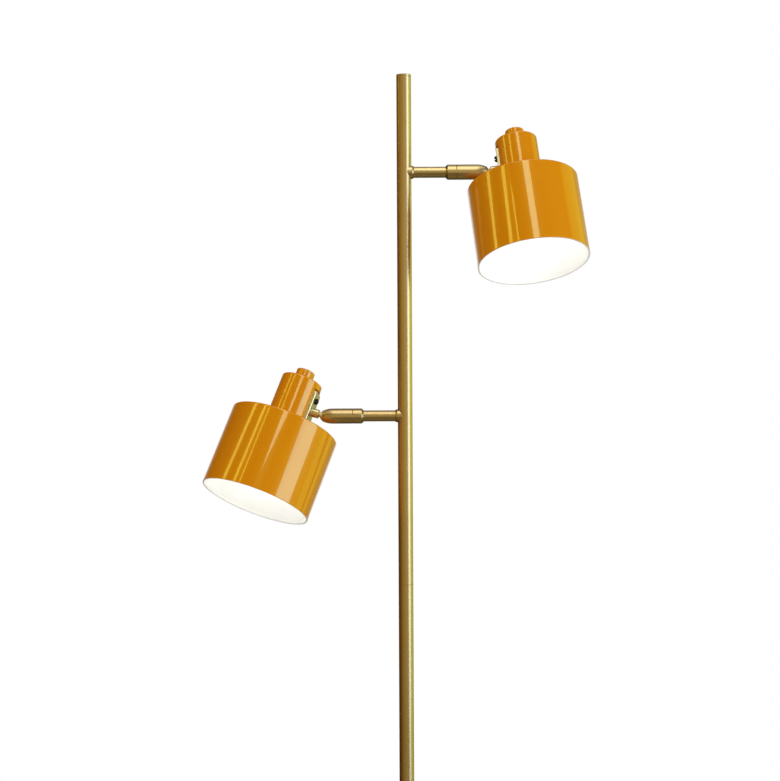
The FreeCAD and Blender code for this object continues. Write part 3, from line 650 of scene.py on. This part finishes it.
# %% Bulbs
BULB_NECK, GLASS = 6.4 * MM, 0.9 * MM
GLOBE_END = math.radians(52)            # how far up the globe is round
PULL_OUT, PULL_IN = 5.0 * MM, 4.5 * MM  # how long the flare follows the globe and the neck
for lamp in LAMPS:
    where = shade_place[lamp]
    tip, top, _, globe = reach(lamp + "_bulb_glass", where)
    lift = np.linspace(-math.pi / 2, GLOBE_END, 48)
    circle = np.column_stack([globe * np.cos(lift), tip + globe + globe * np.sin(lift)])
    circle[0, 0] = 0
    # The flare is a cubic Bezier curve from the globe's end to the cap.
    share = np.linspace(0, 1, 17)[:, None]
    start, end = circle[-1], np.array([BULB_NECK, reach(lamp + "_bulb_cap", where)[0]])
    first = start + np.array([-math.sin(GLOBE_END), math.cos(GLOBE_END)]) * PULL_OUT
    last = end - np.array([0, PULL_IN])
    flare = ((1 - share) ** 3 * start + 3 * (1 - share) ** 2 * share * first
             + 3 * (1 - share) * share**2 * last + share**3 * end)
    outline = np.vstack([circle, flare[1:], [[BULB_NECK, top], [BULB_NECK - GLASS, top]]])
    turned(lamp + "_bulb", outline, where, opal, lamp + "_head", [lamp + "_bulb_glass"],
           SMALL, closed=False)

# %% [markdown]
# ## Finishes for the pieces that stay as they are
# The bracket plates, screws, nuts, lampholders and the like keep the shape that the frame gives them,
# and take a finish for their stuff.

# %% Finishes on the frame's own pieces
STAY = {"bracket_plate": brass_pale, "bracket_screws": blackened, "stud_nut": zinc,
        "threaded_nipple": zinc, "nipple_locknut": zinc, "shade_ring": phenolic,
        "lampholder": phenolic, "socket_shell": brass_level, "socket_contact": brass_level,
        "bulb_cap": zinc, "arm_nipple": zinc, "arm_nut": zinc, "spring_discs": zinc, "ball_seat": nylon,
        "base_pad": pad_rubber, "base_weight": iron, "cord_bush": phenolic,
        "foot_stud": zinc, "foot_nut": zinc, "tube_inserts": zinc, "joint_studs": zinc}
for name, node in frame["nodes"].items():
    stem = name.replace("upper_", "").replace("lower_", "")
    if stem in STAY:
        node.data.materials.clear()
        node.data.materials.append(STAY[stem].material)
print("kinds of piece that keep the frame's shape:", len(STAY))

# %% [markdown]
# ## The room
# The background is white because the world is white to the camera, not because more light falls on the
# lamp. What soft metal shows is the room round it, so the room is a gradient over the compass: 0 is the
# front, 90 the right. It is brown at the left, paler at the right, and white straight behind, where the
# metal sees the background. Above and below eye level it is darker. Dull surfaces need none of that, and
# take an even light.

# %% World
COMPASS = [(-90, (0.32, 0.15, 0.02)), (-64, (0.48, 0.30, 0.05)), (-45, (0.76, 0.55, 0.12)),
           (-15, (0.76, 0.57, 0.14)), (2, (0.98, 0.82, 0.40)), (16, (0.85, 0.74, 0.36)),
           (31, (0.62, 0.56, 0.22)), (85, (0.82, 0.90, 0.20)), (106, (0.76, 0.86, 0.12)),
           (138, (0.66, 0.70, 0.18)), (155, (0.50, 0.48, 0.30)), (205, (0.34, 0.31, 0.22)),
           (222, (0.16, 0.07, 0.01)), (252, (0.16, 0.06, 0.01)), (270, (0.32, 0.15, 0.02))]
HEIGHTS = [(-1.0, 0.4), (-0.8, 0.3), (-0.5, 0.18), (-0.25, 0.4), (-0.08, 0.8), (0.15, 1.0), (0.35, 0.22),
           (0.6, 0.09), (0.75, 0.3), (1.0, 0.6)]
EVEN = (0.50, 0.46, 0.43)
WHITE = (1, 1, 1, 1)
BEHIND = (0.88, 0.98)  # how straight behind a direction points where the white starts and is full

world = bpy.data.worlds.new("room")
bpy.context.scene.world = world
world.use_nodes = True
room = world.node_tree
room.nodes.clear()


def room_node(kind, settings, values):
    """Adds a node to the world; stops fill a ramp with (place, colour)."""
    made = room.nodes.new(kind)
    for key, value in settings.items():
        if key == "stops":
            ramp = made.color_ramp.elements
            while len(ramp) < len(value):
                ramp.new(0.5)
            for stop, (position, color) in zip(ramp, value):
                stop.position = position
                stop.color = (*color, 1)
        else:
            setattr(made, key, value)
    for key, value in values.items():
        if isinstance(value, bpy.types.NodeSocket):
            room.links.new(value, made.inputs[key])
        else:
            made.inputs[key].default_value = value
    return made


def room_math(operation, *values):
    """A Math node's result; the same as a Wire's arithmetic, but for the world."""
    return room_node("ShaderNodeMath", {"operation": operation}, dict(enumerate(values))).outputs[0]


looking = room_node("ShaderNodeTexCoord", {}, {}).outputs["Generated"]
parts = room_node("ShaderNodeSeparateXYZ", {}, {0: looking}).outputs
around = room_node("ShaderNodeTexGradient", {"gradient_type": "RADIAL"}, {"Vector": looking}).outputs["Fac"]
compass = room_node("ShaderNodeValToRGB", {"stops": [(0.25 + a / 360, c) for a, c in COMPASS]},
                    {"Fac": around}).outputs[0]
heights = room_node("ShaderNodeValToRGB", {"stops": [((z + 1) / 2, (v, v, v)) for z, v in HEIGHTS]},
                    {"Fac": room_math("MULTIPLY_ADD", parts["Z"], 0.5, 0.5)}).outputs[0]
mirrored = room_node("ShaderNodeMix", {"data_type": "RGBA", "blend_type": "MULTIPLY"},
                     {MIX_FACTOR: 1.0, MIX_A: compass, MIX_B: heights}).outputs[MIX_COLOR]
behind = room_node("ShaderNodeMapRange", {"interpolation_type": "SMOOTHSTEP"},
                   {"Value": parts["Y"], "From Min": BEHIND[0], "From Max": BEHIND[1]}).outputs[0]
mirrored = room_node("ShaderNodeMix", {"data_type": "RGBA"},
                     {MIX_FACTOR: behind, MIX_A: mirrored, MIX_B: WHITE}).outputs[MIX_COLOR]
rays = room_node("ShaderNodeLightPath", {}, {}).outputs
shown = room_node("ShaderNodeMix", {"data_type": "RGBA"},
                  {MIX_FACTOR: rays["Is Glossy Ray"], MIX_A: (*EVEN, 1),
                   MIX_B: mirrored}).outputs[MIX_COLOR]
straight = room_math("MAXIMUM", rays["Is Camera Ray"], rays["Is Transmission Ray"])
shown = room_node("ShaderNodeMix", {"data_type": "RGBA"},
                  {MIX_FACTOR: straight, MIX_A: shown, MIX_B: WHITE}).outputs[MIX_COLOR]
room_node("ShaderNodeOutputWorld", {},
          {"Surface": room_node("ShaderNodeBackground", {}, {"Color": shown}).outputs[0]})
print("world nodes", len(room.nodes))

# %% [markdown]
# ## The lights
# Each light is given as it is seen from the lamp: its direction and its size in degrees, and its
# brightness, where 1 is white paper. A tall soft box at the right makes the broad pale band on the
# lacquer, and a dim greenish wall behind it the gold edge next to that band. A panel above the front
# makes the second band, and thin warm strips at the left the fine lines. They lean, because a reflection
# on a tilted shade only runs along it when the light leans too.

# %% Lights
FOCUS = Vector((0, 0, 1.4))  # between the two shades
DISTANCE = 3.0


def soft_light(name, azimuth, elevation, wide, tall, brightness, color, lean=0.0):
    """Area light seen from FOCUS; azimuth 0 is the front and 90 the right. All angles are degrees."""
    data = bpy.data.lights.new(name, "AREA")
    data.shape = "RECTANGLE"
    data.size, data.size_y = (2 * DISTANCE * math.tan(math.radians(a) / 2) for a in (wide, tall))
    data.energy = brightness * math.pi * data.size * data.size_y
    data.color = color
    turn, rise = math.radians(azimuth), math.radians(elevation)
    towards = Vector((math.sin(turn) * math.cos(rise), -math.cos(turn) * math.cos(rise), math.sin(rise)))
    light = bpy.data.objects.new(name, data)
    light.location = FOCUS + DISTANCE * towards
    facing = (-towards).to_track_quat("-Z", "Y").to_matrix()
    light.rotation_euler = (facing @ Matrix.Rotation(math.radians(lean), 3, "Z")).to_euler()
    bpy.context.scene.collection.objects.link(light)
    light.visible_camera = False


COOL, WARM, GREENISH = (0.80, 1.0, 1.15), (1.0, 0.86, 0.14), (0.80, 1.0, 0.12)
soft_light("box_right", 60, 6, 31, 55, 2.7, COOL)
soft_light("wall_right", 112, 5, 36, 60, 0.55, GREENISH)
soft_light("panel_front", 6, 54, 11, 48, 3.7, (0.95, 0.97, 0.70))
soft_light("strip_left", -50, 39, 4.0, 22, 4.6, WARM, -30)
soft_light("strip_left_thin", -38, 35, 2.4, 12, 4.4, WARM, -10)
soft_light("strip_far_left", -83, 30, 4.0, 36, 4.2, WARM, -33)
soft_light("overhead", 20, 80, 50, 50, 0.8, (1.0, 0.98, 0.94))
print("lights", len(bpy.data.lights))

# %% [markdown]
# ## The floor
# The lamp stands on a pale disc that fades into the white at its edge, so no horizon shows. Soft metal
# doesn't mirror it, because the room's gradient already has its floor.

# %% Floor
FLOOR_RADIUS = 2.6
FADE_START, FADE_SLOPE = 3.0, 3.2  # alpha is start - slope * distance / radius, kept from 0 to 1
turns = np.linspace(0, 2 * math.pi, SMALL, endpoint=False)
edge_points = np.column_stack([FLOOR_RADIUS * np.cos(turns), FLOOR_RADIUS * np.sin(turns), 0 * turns])
floor_mesh = bpy.data.meshes.new("floor")
floor_mesh.from_pydata(edge_points.tolist(), [], [list(range(len(turns)))])
floor = bpy.data.objects.new("floor", floor_mesh)
bpy.context.scene.collection.objects.link(floor)
floor.visible_glossy = False

pale = Finish("pale_floor", (0.90, 0.89, 0.87), 0.7)
pale.feed("Roughness", 0.6 + pale.noise(3.0, 2.0) * 0.2)
distance = pale.node("ShaderNodeVectorMath", {"operation": "LENGTH"},
                     {0: pale.position((1 / FLOOR_RADIUS, 1 / FLOOR_RADIUS, 0))}, "Value")
pale.feed("Alpha", (FADE_START - distance * FADE_SLOPE).clamp(0, 1))
floor_mesh.materials.append(pale.material)
print("floor radius", FLOOR_RADIUS)

# %% [markdown]
# ## The end
# Colours are shown as they are, with the Standard view.

# %% Finish
bpy.context.scene.view_settings.view_transform = "Standard"
